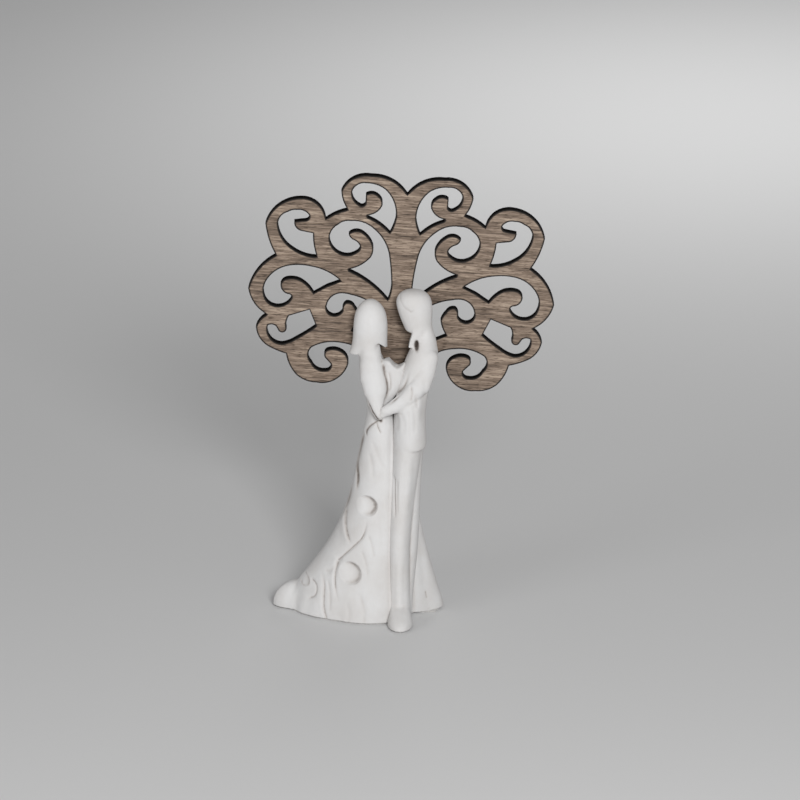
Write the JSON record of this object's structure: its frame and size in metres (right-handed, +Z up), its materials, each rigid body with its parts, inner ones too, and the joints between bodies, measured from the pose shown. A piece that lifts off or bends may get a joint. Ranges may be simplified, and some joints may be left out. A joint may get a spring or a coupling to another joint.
{
  "type": "tree of life wedding figurine",
  "caption": "Free-standing figurine: a white cast bride and groom in front of a laser-cut wooden crown of curling branches.",
  "frame": {"origin": "middle of the object's box, on the surface that it stands on", "axes": "+Z up, +X to the viewer's right, +Y from the couple towards the crown behind them"},
  "size_m": [0.1338, 0.056, 0.1974],
  "materials": {
    "bride_plaster": "matt cast plaster, warm white",
    "groom_plaster": "matt cast plaster, warm white",
    "board_core": "fibreboard, scorched nearly black along the laser-cut edges",
    "wood_veneer": "grey-brown oak veneer, grain across the crown, matt",
    "felt": "thin off-white felt"
  },
  "bodies": {
    "root": {"bride": "bride_plaster", "groom": "groom_plaster", "crown_core": "board_core", "crown_front_veneer": "wood_veneer", "crown_back_veneer": "wood_veneer", "felt_base": "felt"}
  },
  "joints": []
}
